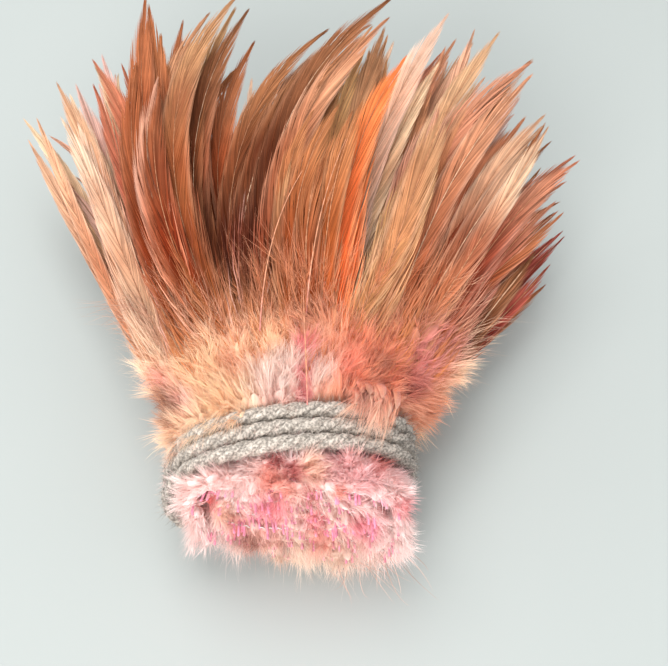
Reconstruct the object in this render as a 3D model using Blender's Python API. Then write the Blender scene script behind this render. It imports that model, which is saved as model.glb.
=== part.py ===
"""A bundle of strung rooster saddle feathers, rolled up, tied with twine and lying on a flat surface.

The quill ends point along -Y, the tips fan out along +Y and +Z is up.
The origin is on the surface, under the middle of the binding twine.
"""

import math

import bmesh
import bpy
import numpy as np
from mathutils import Vector

MM = 0.001

# The roll: the string of feathers is wound into a flattened spiral, from its outside at the bottom inwards
ROLL_HALF_WIDTH = 30.0
ROLL_HALF_HEIGHT = 17.0
ROLL_PITCH = 5.75
ROLL_TURNS = 2.8
ROLL_START_DEG = -100.0
QUILL_SPACING = 5.75
ROLL_CENTRE = (-1.4, 24.3)
LOWEST_QUILL = 2.6

# Where things are along the bundle, from the cut quill ends to the start of the vanes
QUILL_END_Y = -18.0
BARE_QUILL_Y = -15.6
SKIRT_Y = -12.4
TIE_Y = 8.6
RUFF_Y = 15.0
VANE_START_Y = 25.0

# Radii of one feather's quill and of its down in the skirt, under the twine and in the ruff
QUILL_RADIUS = 0.7
SKIRT_RADIUS = 2.8
TIED_RADIUS = 2.2
RUFF_RADII = (2.8, 3.5)

# How far the roll opens out below and above the tie
SKIRT_SPREAD = (0.0, 0.12)
RUFF_SPREAD = (0.42, 0.34)

# How much squarer the roll is at the cut quill ends, as a share of its size, and how far it lies to the right
# of its place in the tie there and where the vanes start
SKIRT_CORNERS = 0.27
SKIRT_SHIFT = 2.0
RUFF_SHIFT = 3.0

# How much of a vane's first direction comes from the roll, the rest being an even bow towards its tip
ROLL_HOLD = 0.35

# How far the roll and its tie lean, so that their left side is nearer the quill ends: y for each mm of x.
# The cut ends themselves lean the other way
LEAN = 0.11
CUT_LEAN = -0.06

# The binding twine: one cord wound round the roll, stepping to its next turn down the left side
TWINE_RADIUS = 2.25
TWINE_PITCH = 4.85
TWINE_START_DEG = -122.0
TWINE_END_DEG = 926.0
TWINE_HALF_WIDTH = 32.6
TWINE_HALF_HEIGHT = 21.2
TWINE_SINK = 0.5
TWINE_STEPS = 102
TWINE_SIDES = 7

# The stringing thread, woven over and under the quills close to their ends
THREAD_RADIUS = 0.4
THREAD_SWING = 1.7
THREAD_Y = -16.7

# Colours of the vanes, each with a roughness
DYES = {
    "chestnut": (0.46, 0.14, 0.06),
    "umber": (0.24, 0.06, 0.02),
    "ginger": (0.56, 0.19, 0.07),
    "tan": (0.54, 0.24, 0.11),
    "peach": (0.80, 0.42, 0.27),
    "blush": (0.90, 0.56, 0.45),
    "cream": (0.86, 0.60, 0.38),
    "gold": (0.70, 0.36, 0.16),
    "orange": (0.92, 0.22, 0.05),
    "salmon": (0.70, 0.30, 0.17),
    "rose": (0.62, 0.21, 0.13),
    "maroon": (0.42, 0.09, 0.06),
}

# Each feather in its order along the string: where its tip lies, the way its tip points seen from above
# (in degrees, turning right from +Y), half of its vane's width, its vane's roll and its colour
FEATHERS = [
    (-44, 116, 1.6, -22, 3.9, 0, "chestnut"),
    (6, 118, 1.6, 4, 4.1, 0, "ginger"),
    (30, 116, 1.6, 18, 4.1, 0, "tan"),
    (50, 100, 1.6, 30, 4.1, 0, "rose"),
    (61, 77, 5, 38, 3.6, -6, "rose"),
    (72, 80, 12, 42, 3.7, -16, "maroon"),
    (82, 84, 20, 44, 2.9, -10, "maroon"),
    (78, 84, 29, 46, 3.4, 10, "umber"),
    (84, 92, 44, 52, 3.6, 24, "rose"),
    (74, 103, 52, 42, 3.7, 22, "peach"),
    (70, 118, 60, 44, 5.2, 18, "salmon"),
    (44, 93, 66, 20, 4.1, 14, "gold"),
    (32, 113, 66, 30, 3.9, 10, "orange"),
    (12, 90, 69, 30, 3.7, 8, "ginger"),
    (27, 139, 66, 46, 4.6, 8, "umber"),
    (-20, 143, 64, 34, 4.4, -8, "tan"),
    (-48, 145, 60, 0, 4.6, -12, "chestnut"),
    (-62, 126, 52, -30, 3.7, -18, "rose"),
    (-75, 125, 43, -26, 3.7, -24, "peach"),
    (-88, 125, 27, -36, 2.7, -24, "cream"),
    (-66, 106, 22, -40, 3.6, -14, "tan"),
    (-64, 112, 13, -40, 3.7, -8, "blush"),
    (-57, 122, 9, -26, 3.9, 0, "ginger"),
    (-46, 136, 13, -18, 3.9, 0, "tan"),
    (-29, 116, 7, -8, 3.9, 0, "chestnut"),
    (1, 120, 8, 4, 3.9, 0, "ginger"),
    (18, 134, 10, 12, 4.1, 0, "tan"),
    (44, 121, 11, 28, 3.9, 0, "salmon"),
    (66, 86, 21, 46, 3.6, -8, "maroon"),
    (80, 90, 36, 54, 3.4, 18, "chestnut"),
    (68, 114, 48, 34, 3.9, 18, "blush"),
    (62, 134, 56, 32, 3.9, 14, "peach"),
    (46, 138, 60, 30, 4.1, 10, "cream"),
    (27, 136, 56, 16, 4.1, 8, "tan"),
    (20, 134, 60, 56, 4.4, 4, "peach"),
    (-17, 142, 58, 26, 4.4, -6, "umber"),
    (-37, 142, 53, 6, 3.9, -10, "chestnut"),
    (-62, 136, 44, -18, 3.9, -14, "blush"),
    (-71, 131, 36, -21, 3.7, -18, "blush"),
    (-60, 132, 25, -24, 3.7, -10, "cream"),
    (-50, 140, 22, -14, 3.9, 0, "ginger"),
    (-16, 143, 27, 2, 3.9, 0, "cream"),
    (11, 134, 25, 10, 3.9, 0, "ginger"),
    (40, 132, 27, 26, 3.9, 0, "peach"),
    (77, 103, 40, 44, 3.4, 10, "umber"),
    (55, 140, 46, 30, 3.9, 8, "peach"),
    (49, 136, 51, 28, 3.7, 6, "salmon"),
    (30, 139, 47, 18, 4.1, 4, "cream"),
    (-15, 136, 50, 22, 4.2, -4, "chestnut"),
    (-44, 141, 48, -6, 4.1, -6, "tan"),
]


def clear_scene():
    for obj in list(bpy.data.objects):
        bpy.data.objects.remove(obj, do_unlink=True)


def material(name, colour, roughness):
    made = bpy.data.materials.new(name)
    made.use_nodes = True
    shader = made.node_tree.nodes["Principled BSDF"]
    shader.inputs["Base Color"].default_value = (*colour, 1.0)
    shader.inputs["Roughness"].default_value = roughness
    shader.inputs["Metallic"].default_value = 0.0
    return made


def loft(name, rings, colour, roughness):
    """A closed solid through rings of points in millimetres, each ring turning left as seen from the next."""
    mesh = bmesh.new()
    loops = [[mesh.verts.new(Vector(point) * MM) for point in ring] for ring in rings]
    for first, second in zip(loops, loops[1:]):
        count = len(first)
        for i in range(count):
            j = (i + 1) % count
            mesh.faces.new((first[i], first[j], second[j], second[i]))
    mesh.faces.new(list(reversed(loops[0])))
    mesh.faces.new(loops[-1])
    bmesh.ops.triangulate(mesh, faces=mesh.faces[:])
    bmesh.ops.recalc_face_normals(mesh, faces=mesh.faces[:])
    data = bpy.data.meshes.new(name)
    mesh.to_mesh(data)
    mesh.free()
    data.shade_smooth()
    data.set_sharp_from_angle(angle=math.radians(50))
    data.materials.append(material(name, colour, roughness))
    obj = bpy.data.objects.new(name, data)
    bpy.context.scene.collection.objects.link(obj)
    return obj


def eased(start, end, value):
    share = np.clip((value - start) / (end - start), 0, 1)
    return share * share * (3 - 2 * share)


def spread(y):
    """How much wider and higher than at the tie the roll is, at each place along the bundle."""
    skirt = eased(-7, -15, y)
    ruff = np.clip((y - 7) / (VANE_START_Y - 7), 0, 1) ** 1.25
    return (
        1 + SKIRT_SPREAD[0] * skirt + RUFF_SPREAD[0] * ruff,
        1 + SKIRT_SPREAD[1] * skirt + RUFF_SPREAD[1] * ruff,
    )


def quill_places():
    """The quills' places in the roll, evenly spaced along the flattened spiral from its outer end."""
    turn = np.linspace(0, ROLL_TURNS, 4001)
    angle = math.radians(ROLL_START_DEG) + 2 * math.pi * turn
    x = (ROLL_HALF_WIDTH - ROLL_PITCH * turn) * np.cos(angle)
    z = (ROLL_HALF_HEIGHT - ROLL_PITCH * turn) * np.sin(angle)
    walked = np.concatenate([[0], np.cumsum(np.hypot(np.diff(x), np.diff(z)))])
    wanted = QUILL_SPACING * np.arange(len(FEATHERS))
    return np.stack([np.interp(wanted, walked, x), np.interp(wanted, walked, z)], 1)


def in_roll(place, y, lowest):
    """Points of one feather's quill at the given places along the bundle, leaning, kept above the surface.

    Towards the cut ends the roll gets squarer, because its corners move outwards."""
    wide, high = spread(y)
    cut = eased(-TIE_Y, -15, y)
    across, up = place[0] / ROLL_HALF_WIDTH, place[1] / ROLL_HALF_HEIGHT
    corner = 1 + SKIRT_CORNERS * cut * math.hypot(across, up) * math.sin(2 * math.atan2(up, across)) ** 2
    shift = SKIRT_SHIFT * cut + RUFF_SHIFT * eased(TIE_Y, VANE_START_Y, y)
    x = ROLL_CENTRE[0] + shift + place[0] * wide * corner
    z = np.maximum(ROLL_CENTRE[1] + place[1] * high * corner, lowest)
    return np.stack([x, y + (LEAN + (CUT_LEAN - LEAN) * cut) * x, z], 1)


def bend(start, way, tip, tip_way, share):
    """A cubic curve from where a vane starts to the feather's tip, at shares of its length from 0 to 1."""
    reach = np.linalg.norm(tip - start)
    near = start + way * reach * 0.36
    far = tip - tip_way * reach * 0.38
    t = share[:, None]
    u = 1 - t
    return u**3 * start + 3 * u * u * t * near + 3 * u * t * t * far + t**3 * tip


def unit(vector):
    return vector / np.linalg.norm(vector, axis=-1, keepdims=True)


def feather_line(place, tip, heading_deg):
    """The middle of a feather: straight through the roll, then bending to its tip."""
    low_y = [QUILL_END_Y, BARE_QUILL_Y, SKIRT_Y, -TIE_Y, TIE_Y, RUFF_Y, VANE_START_Y - 0.5, VANE_START_Y]
    low = in_roll(place, np.array(low_y), LOWEST_QUILL)
    start = low[-1]
    tip = np.array(tip, float)
    toward = unit(tip - start)
    heading = math.radians(heading_deg)
    tip_way = unit(np.array([math.sin(heading), math.cos(heading), toward[2] * 0.5 - 0.02]))
    mirrored = 2 * np.dot(toward, tip_way) * toward - tip_way
    way = unit(ROLL_HOLD * unit(low[-1] - low[-2]) + (1 - ROLL_HOLD) * mirrored)
    shares = np.array([0.12, 0.3, 0.5, 0.7, 0.87, 1.0])
    return np.concatenate([low[:6], low[7:], bend(start, way, tip, tip_way, shares)])


def feather(name, place, tip, heading_deg, half_width, roll_deg, colour):
    """One feather: bare quill, down in the skirt, pinch under the twine, down in the ruff, then the vane."""
    line = feather_line(place, tip, heading_deg)
    along = unit(np.gradient(line, axis=0))
    flat = unit(np.cross(along, (0, 0, 1)))
    upward = np.cross(flat, along)
    w = half_width
    half_widths = (
        [QUILL_RADIUS, QUILL_RADIUS, SKIRT_RADIUS, TIED_RADIUS, TIED_RADIUS, *RUFF_RADII]
        + [0.75 * w, 0.95 * w, w, 0.92 * w, 0.62 * w, 0.3]
    )
    depths = (
        [0.87 * radius for radius in half_widths[:6]]
        + [0.7 * RUFF_RADII[1], 1.3, 0.8, 0.6, 0.5, 0.42, 0.3]
    )
    shoulders = [0.5] * 7 + [0.3] + [0.16] * 4 + [0.4]
    rolls = [0.0] * 6 + [0.3, 0.6] + [1.0] * 5
    rings = []
    for i, point in enumerate(line):
        roll = math.radians(roll_deg) * rolls[i]
        side = flat[i] * math.cos(roll) - upward[i] * math.sin(roll)
        top = upward[i] * math.cos(roll) + flat[i] * math.sin(roll)
        wide = side * half_widths[i]
        deep = top * depths[i]
        inner = wide * shoulders[i]
        ring = [point + wide, point + inner + deep, point - inner + deep]
        ring += [point - wide, point - inner - deep, point + inner - deep]
        rings.append([(p[0], p[1], max(p[2], 0.0)) for p in ring])
    return loft(name, rings, DYES[colour], 0.55)


def tube_rings(path, radius, sides):
    """Rings round a path of points, each square to it. An odd number of sides turns a flat one outward."""
    along = unit(np.gradient(path, axis=0))
    across = unit(np.cross(along, (0, 1, 0)))
    upward = np.cross(across, along)
    rings = []
    for point, right, up in zip(path, across, upward):
        angles = [2 * math.pi * k / sides for k in range(sides)]
        rings.append([point + radius * (math.cos(a) * right + math.sin(a) * up) for a in angles])
    return rings


def binding_twine():
    """Three turns of cord side by side round the roll, pressed flat underneath where the bundle rests."""
    degrees = np.linspace(TWINE_START_DEG, TWINE_END_DEG, TWINE_STEPS + 1)
    angle = np.radians(degrees)
    x = TWINE_HALF_WIDTH * np.cos(angle)
    z = TWINE_RADIUS - TWINE_SINK + TWINE_HALF_HEIGHT * (1 + np.sin(angle))
    turn = sum(eased(left - 50, left + 50, degrees) for left in (180, 540, 900))
    y = TWINE_PITCH * (1 - turn) + LEAN * x
    rings = tube_rings(np.stack([x, y, z], 1), TWINE_RADIUS, TWINE_SIDES)
    rings = [[(p[0], p[1], max(p[2], 0.0)) for p in ring] for ring in rings]
    return loft("binding_twine", rings, (0.46, 0.42, 0.37), 0.9)


def stringing_thread(places):
    """One thread woven from quill to quill, passing each on the other side from the one before it."""
    centres = np.array([in_roll(place, np.array([THREAD_Y]), LOWEST_QUILL)[0] for place in places])
    along = unit(np.gradient(centres, axis=0))
    outward = unit(np.cross(along, (0, 1, 0)))
    swing = THREAD_SWING * np.where(np.arange(len(places)) % 2, -1, 1)[:, None]
    path = np.empty((2 * len(places) - 1, 3))
    path[0::2] = centres + outward * swing
    path[1::2] = 0.5 * (centres[1:] + centres[:-1])
    rings = tube_rings(path, THREAD_RADIUS, 3)
    return loft("stringing_thread", rings, (0.80, 0.76, 0.72), 0.8)


def main():
    clear_scene()
    places = quill_places()
    for number, (x, y, z, heading, half_width, roll, colour) in enumerate(FEATHERS, 1):
        feather(f"feather_{number:02d}", places[number - 1], (x, y, z), heading, half_width, roll, colour)
    binding_twine()
    stringing_thread(places)


main()
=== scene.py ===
import bpy
import numpy as np
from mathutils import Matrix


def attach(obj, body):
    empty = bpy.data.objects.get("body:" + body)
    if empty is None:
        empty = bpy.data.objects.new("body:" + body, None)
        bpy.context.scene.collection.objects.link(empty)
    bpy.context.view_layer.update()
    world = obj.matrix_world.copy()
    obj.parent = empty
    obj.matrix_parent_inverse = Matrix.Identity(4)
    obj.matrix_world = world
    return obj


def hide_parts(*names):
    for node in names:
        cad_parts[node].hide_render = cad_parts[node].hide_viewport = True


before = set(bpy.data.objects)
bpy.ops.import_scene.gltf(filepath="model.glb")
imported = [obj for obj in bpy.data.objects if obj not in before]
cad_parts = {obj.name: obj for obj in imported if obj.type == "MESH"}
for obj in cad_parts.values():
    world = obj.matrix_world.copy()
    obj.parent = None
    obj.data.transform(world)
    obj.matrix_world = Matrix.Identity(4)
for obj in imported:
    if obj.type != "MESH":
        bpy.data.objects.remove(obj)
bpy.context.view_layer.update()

# The roll. The feathers are sewn side by side by their quills into one long string, and the string is wound
# into a flattened coil, from its outside inwards. The twine squeezes it, and it opens out on both sides.
MM = 0.001
ROLL_HALF_WIDTH = 30.0
ROLL_HALF_HEIGHT = 17.0
ROLL_PITCH = 5.75
ROLL_TURNS = 2.8
ROLL_START_DEG = -100.0
ROLL_STEPS = 4001
QUILL_SPACING = 5.75
ROLL_CENTRE = (-1.4, 24.3)
QUILL_END_Y = -18.0
VANE_START_Y = 25.0
SKIRT_RISE = 0.12
SKIRT_CORNERS = 0.27
SKIRT_SHIFT = 2.0
RUFF_SHIFT = 3.0
RUFF_SPREAD = (0.42, 0.34)
RUFF_POWER = 1.25
TIE_HALF_LENGTH = 8.6
TWINE_EDGE = 7.0
SKIRT_FULL_Y = -15.0
LEAN = 0.11
CUT_LEAN = -0.06
LOWEST_QUILL = 2.6


def ease(start, end, value):
    """Goes from 0 at start to 1 at end, flat at both: the share squared, times three less twice the share."""
    share = np.clip((value - start) / (end - start), 0, 1)
    return share * share * (3 - 2 * share)


def unit(vector):
    """Each vector divided by its own length."""
    return vector / np.linalg.norm(vector, axis=-1, keepdims=True)


def read_off(places, table, where):
    """The columns of a table that holds one row for each place, each read off between its rows."""
    return np.stack([np.interp(where, places, column) for column in table.T], -1)


def string_place(step):
    """Where a quill stands in the roll, its step counted in whole feathers from the string's outer end:
    equal distances along a flattened spiral, whose two half axes lose ROLL_PITCH each turn."""
    turn = np.linspace(0, ROLL_TURNS, ROLL_STEPS)
    angle = np.radians(ROLL_START_DEG) + 2 * np.pi * turn
    x = (ROLL_HALF_WIDTH - ROLL_PITCH * turn) * np.cos(angle)
    z = (ROLL_HALF_HEIGHT - ROLL_PITCH * turn) * np.sin(angle)
    walked = np.concatenate([[0], np.cumsum(np.hypot(np.diff(x), np.diff(z)))])
    return read_off(walked, np.stack([x, z], -1), QUILL_SPACING * step)


def spread(y):
    """How much wider and higher than at the tie the roll is: one, plus a share that grows as a power of the
    distance from the twine towards the vanes. Its height also eases up towards the quill ends."""
    ruff = np.clip((y - TWINE_EDGE) / (VANE_START_Y - TWINE_EDGE), 0, 1) ** RUFF_POWER
    skirt = ease(-TWINE_EDGE, SKIRT_FULL_Y, y)
    return 1 + RUFF_SPREAD[0] * ruff, 1 + SKIRT_RISE * skirt + RUFF_SPREAD[1] * ruff


def in_roll(place, y):
    """Points of a quill along the bundle: its place times the spread, leaning, kept above the surface. Near
    the quill ends the roll is squarer: the corners move out by the square of the sine of twice the angle."""
    wide, high = spread(y)
    cut = ease(-TIE_HALF_LENGTH, SKIRT_FULL_Y, y)
    across, up = place[0] / ROLL_HALF_WIDTH, place[1] / ROLL_HALF_HEIGHT
    corner = 1 + SKIRT_CORNERS * cut * np.hypot(across, up) * np.sin(2 * np.arctan2(up, across)) ** 2
    shift = SKIRT_SHIFT * cut + RUFF_SHIFT * ease(TIE_HALF_LENGTH, VANE_START_Y, y)
    x = ROLL_CENTRE[0] + shift + place[0] * wide * corner
    z = np.maximum(ROLL_CENTRE[1] + place[1] * high * corner, LOWEST_QUILL)
    return np.stack([x, y + (LEAN + (CUT_LEAN - LEAN) * cut) * x, z], -1)


# A feather's shaft. It is one grown horny rod: a round, pink-dyed quill where it was cut and sewn, thinning
# to a pale hair at the tip. It runs straight through the roll, then bows evenly to where its tip lies. On
# three feathers a stretch of it lies bare on the ruff.
VANE_FINISH, SHAFT_FINISH, DOWN_FINISH = 0, 1, 2
ROLL_HOLD = 0.35
LOW_POINTS = 32
QUILL_SPARE = 2.2
VANE_POINTS = 40
PAST_TIP = 5.0
TIP_CLIMB, TIP_DROOP = 0.5, 0.02
BOW = (0.36, 0.38)
ROLLED_BY = 30.0
SHAFT_RADII = ([-45.0, -30.0, 0.0, 60.0, 130.0], [0.36, 0.34, 0.22, 0.12, 0.05])
SHAFT_RAISED = 0.4
BARE_SHAFTS = {
    13: ((4.4, 33.0, 49.0), (5.5, 48.0, 59.5), (9.5, 66.0, 66.0), (15.5, 82.0, 66.5)),
    14: ((5.0, 5.0, 47.0), (4.6, 18.0, 52.0), (3.8, 31.0, 53.5), (3.4, 43.0, 52.0)),
    17: ((-8.2, 28.0, 48.0), (-7.5, 44.0, 56.5), (-4.5, 60.0, 62.5), (6.0, 77.0, 65.0)),
}
BARE_RADII = (0.22, 0.10)
BARE_SHARES = (-0.05, 0.4)
BARE_TINT = np.array([0.88, 0.62, 0.55])


def cubic(start, near, far, end, steps):
    """A cubic curve, with t running from 0 to 1: its four points times one, three, three and one, and times
    powers of t and of one less t that add up to three."""
    t = np.linspace(0, 1, steps)[:, None]
    u = 1 - t
    return u**3 * start + 3 * u * u * t * near + 3 * u * t * t * far + t**3 * end


def walked_along(path):
    """How far along a path each of its points lies: the steps between them, added up."""
    return np.concatenate([[0], np.cumsum(np.linalg.norm(np.diff(path, axis=0), axis=1))])


def square_to(path, reference):
    """Unit vectors along a path, across it and the reference, and above it, square to both."""
    along = unit(np.gradient(path, axis=0))
    across = unit(np.cross(along, reference))
    return along, across, np.cross(across, along)


class Stem:
    """A feather's middle line in millimetres, with the way across its vane and the way out of its face.

    Through the roll it is the quill's place, spread along the bundle. From the vane's start it is a cubic
    curve whose first direction is the last one mirrored about the straight way, mixed with the roll's own.
    A shorter feather ends after a share of the same curve."""

    def __init__(self, place, tip, heading_deg, roll_deg, share=1.0):
        low = in_roll(place, np.linspace(QUILL_END_Y - QUILL_SPARE, VANE_START_Y, LOW_POINTS + 1))
        start, tip = low[-1], np.asarray(tip, float)
        toward = unit(tip - start)
        heading = np.radians(heading_deg)
        last = unit(np.array([np.sin(heading), np.cos(heading), toward[2] * TIP_CLIMB - TIP_DROOP]))
        mirrored = 2 * np.dot(toward, last) * toward - last
        first = unit(ROLL_HOLD * unit(low[-1] - low[-2]) + (1 - ROLL_HOLD) * mirrored)
        reach = np.linalg.norm(tip - start)
        curve = cubic(start, start + first * reach * BOW[0], tip - last * reach * BOW[1], tip, VANE_POINTS)
        line = np.concatenate([low[:-1], curve, tip[None] + last * PAST_TIP])
        walked = walked_along(line)
        self.walked = walked - walked[LOW_POINTS]
        self.length = share * self.walked[-2]
        along, flat, upward = square_to(line, (0, 0, 1))
        roll = np.radians(roll_deg) * ease(0, ROLLED_BY, self.walked)[:, None]
        side = flat * np.cos(roll) - upward * np.sin(roll)
        top = upward * np.cos(roll) + flat * np.sin(roll)
        self.table = np.concatenate([line, side, top, along], axis=1)
        self.outward = unit(np.array([place[0] / ROLL_HALF_WIDTH**2, 0, place[1] / ROLL_HALF_HEIGHT**2]))

    def at(self, distance):
        """Points, ways across, ways out and ways along, at distances from the vane's start in millimetres."""
        found = read_off(self.walked, self.table, distance)
        return found[..., 0:3], found[..., 3:6], found[..., 6:9], found[..., 9:12]


def skin(rings, barb, tint, finish):
    """Closed skins over stacks of rings: quads from each ring to the next, and a fan of triangles from the
    middle of each end. Rings and attributes are arrays of piece, ring, side and three numbers."""
    count, rows, sides = rings.shape[:3]

    def with_ends(values):
        ends = values[:, [0, -1]].mean(axis=2)
        return np.concatenate([values.reshape(count, -1, 3), ends], 1).reshape(-1, 3)

    first = (np.arange(count) * (rows * sides + 2))[:, None, None]
    row = (np.arange(rows - 1) * sides)[:, None]
    this, after = np.arange(sides), (np.arange(sides) + 1) % sides
    quads = np.stack([row + this, row + sides + this, row + sides + after, row + after], -1).reshape(-1, 4)
    ends, last = rows * sides, (rows - 1) * sides
    low = np.stack([np.full(sides, ends), this, after], -1)
    high = np.stack([np.full(sides, ends + 1), last + after, last + this], -1)
    return {
        "vertices": with_ends(rings), "quads": (quads + first).reshape(-1, 4),
        "triangles": (np.concatenate([low, high]) + first).reshape(-1, 3),
        "barb": with_ends(barb), "tint": with_ends(np.broadcast_to(tint, rings.shape)), "finish": finish,
    }


def rod(line, across, above, radius, sides, finish, share=0.0, tint=np.ones(3), raised=0.0):
    """A closed rod: rings of the radius times the cosine across the line plus the radius times the sine
    above it, raised by a share of the radius. The barb attribute holds the share of the feather's length."""
    angle = np.linspace(0, 2 * np.pi, sides, endpoint=False)[:, None]
    wheel = across[:, None] * np.cos(angle) + above[:, None] * (np.sin(angle) + raised)
    rings = line[:, None] + np.broadcast_to(radius, (len(line), sides))[..., None] * wheel
    share = np.broadcast_to(share, (len(line), sides))
    barb = np.stack([share, np.zeros_like(share), np.full_like(share, 0.5)], -1)
    return skin(rings[None], barb[None], tint, finish)


def shaft(stem, cut, steps, sides, tint):
    """A rod carried along the stem, its radius read from SHAFT_RADII, closed at its cut and at its tip."""
    distance = np.linspace(stem.walked[0] + cut, stem.length, steps)
    points, across, top, _ = stem.at(distance)
    radius = np.interp(distance, *SHAFT_RADII)[:, None]
    share = (distance / stem.length)[:, None]
    return rod(points, across, top, radius, sides, SHAFT_FINISH, share, tint, SHAFT_RAISED)


def bare_shaft(points, steps, sides):
    """The stretch of a shaft that lies bare: a thin rod carried along a cubic curve."""
    line = cubic(*np.array(points), steps)
    _, across, top = square_to(line, (0, 0, 1))
    radius, share = (np.linspace(*ends, steps)[:, None] for ends in (BARE_RADII, BARE_SHARES))
    return rod(line, across, top, radius, sides, SHAFT_FINISH, share, BARE_TINT)


# A feather's vane. Hundreds of barbs grow from both sides of the shaft, sweep forward and lie over each
# other like roof tiles, so that they look like a silky strap. Some part and leave a notch in the edge.
BARB_ROWS = np.array([0.0, 0.3, 0.65, 1.0])
BARB_HALF_WIDTHS = np.array([0.15, 0.17, 0.13, 0.0])
SWEEP = ([-0.15, 0.1, 0.5, 0.85, 1.0], [4.2, 6.2, 8.2, 7.4, 2.6])
OUTLINE = ([-0.15, 0.0, 0.3, 0.55, 0.75, 0.9, 1.0, 1.04], [0.9, 1.0, 1.0, 1.03, 1.0, 0.72, 0.2, 0.03])
LOOSE_BELOW = 17.0
LOOSE_SHARE = 0.34
LOOSE_LIFT = (1.4, 1.7)
SPLITS_A_SIDE = 2.4
SPLIT_FADE = (0.05, 0.04)
BARB_POWER = 1.7
CUP = (-0.05, 0.16)
TWIST = 0.28
FLOOR_GAP = 0.15
LAST_ROOT, LAST_TIP = 0.985, 1.025
SPLIT_BACK, SPLIT_OUT, SPLIT_LIFT = 0.16, 0.17, 0.5
# From x, y and z to x and up, a slanting mix of y and z along which the dyes have soaked in. Each patch has
# its middle in x and up, its radius and its factors of red, green and blue. Most are where the dyes gathered
# or faded; the two in the fan's middle are painted shade.
SOAK = np.array([(1.0, 0.0), (0.0, 0.82), (0.0, 0.57)])
VANE_DYES_AND_SHADE = [
    (-14, 76, 14, (0.38, 0.14, 0.09)),  # painted shade deep in the fan's middle, where the vanes leave the down
    # painted shade, higher in the fan's middle
    (-9, 104, 9, (0.54, 0.36, 0.28)),
    (-26, 103, 8, (1.60, 1.25, 1.15)),  # light by the gap
    (-37, 99, 11, (0.54, 0.37, 0.32)),  # brown left group
    (-34, 78, 11, (0.78, 0.46, 0.32)),  # richer, low left
    (-31, 65, 11, (0.95, 0.74, 0.58)),
    (-50, 116, 9, (0.80, 0.64, 0.58)),  # brown left of that group
    (-33, 120, 8, (0.66, 0.48, 0.46)),
    (-52, 72, 11, (0.82, 0.66, 0.60)),  # warm left edge
    (-57, 93, 8, (0.84, 0.66, 0.60)),
    (-21, 119, 7, (1.25, 1.35, 1.50)),  # faded by the gap
    (14, 123, 8, (1.30, 1.50, 1.60)),  # pale tips left of the orange feather
    (-44, 134, 9, (1.04, 1.06, 1.08)),  # faded top of the left group
    (30, 124, 11, (1.00, 0.86, 0.78)),  # warm tips right of the orange feather
    (32, 98, 9, (0.76, 0.60, 0.54)),  # browner, below those tips
    (7, 66, 8, (1.30, 1.20, 1.25)),  # pale, low middle
    (42, 63, 12, (0.86, 0.58, 0.44)),  # rust, low right
    (53, 76, 11, (0.62, 0.42, 0.38)),
    (71, 92, 11, (1.05, 1.25, 1.35)),  # rose right edge
    (64, 60, 11, (1.50, 1.60, 1.80)),  # brighter maroon
]


def ribbons(points, sides, halves, barb, tint, finish):
    """Tapering ribbons, one for each row of points: two edges half a width from the middle, joined by
    quads, and a last triangle to the ribbon's end."""
    count, rows = points.shape[:2]
    edge = sides * halves[..., None]
    pairs = np.stack([points - edge, points + edge], 2)[:, :-1].reshape(count, -1, 3)
    vertices = np.concatenate([pairs, points[:, -1:]], 1)
    first = np.arange(count)[:, None] * (2 * rows - 1)
    row = 2 * np.arange(rows - 2)[None, :]
    quads = np.stack([first + row, first + row + 1, first + row + 3, first + row + 2], -1).reshape(-1, 4)
    last = first[:, 0] + 2 * (rows - 2)
    triangles = np.stack([last, last + 1, last + 2], -1)

    def spread_out(values):
        doubled = np.repeat(values[:, :-1], 2, axis=1)
        return np.concatenate([doubled, values[:, -1:]], 1).reshape(-1, 3)

    return {
        "vertices": vertices.reshape(-1, 3), "quads": quads, "triangles": triangles,
        "barb": spread_out(barb), "tint": spread_out(tint), "finish": finish,
    }


def waves(rng, share, count):
    """Smooth unevenness along a feather: a sum of sine waves with random phases, about one high."""
    total = 0
    for turns in np.linspace(2, 14, count):
        total = total + np.sin(2 * np.pi * (turns * share + rng.random())) / count**0.5
    return total


def partings(rng, share, hand):
    """How the barbs part: at each split those above it swing out and those below swing in, falling off as
    an exponential of their distance from the split."""
    swing = np.zeros_like(share)
    for side in (1.0, -1.0):
        for _ in range(rng.poisson(SPLITS_A_SIDE)):
            where, size = rng.uniform(0.12, 0.93), rng.uniform(0.3, 1.0)
            beyond = share - where
            pull = np.where(beyond > 0, np.exp(-beyond / SPLIT_FADE[0]), -np.exp(beyond / SPLIT_FADE[1]))
            swing += np.where(hand == side, size * pull, 0)
    return swing


def vane_dyes_and_shade(points):
    """Where the dyes have gathered or faded over the fan, and painted shade in its middle: each patch's
    factors, mixed with one by a bell curve of the distance from its middle in x and in a mix of y and z, and
    all multiplied."""
    spot = points @ SOAK
    total = np.ones(points.shape)
    for x, up, radius, factors in VANE_DYES_AND_SHADE:
        share = np.exp(-np.sum((spot - (x, up)) ** 2, -1, keepdims=True) / radius**2)
        total = total * (1 + share * (np.array(factors) - 1))
    return total


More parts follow.
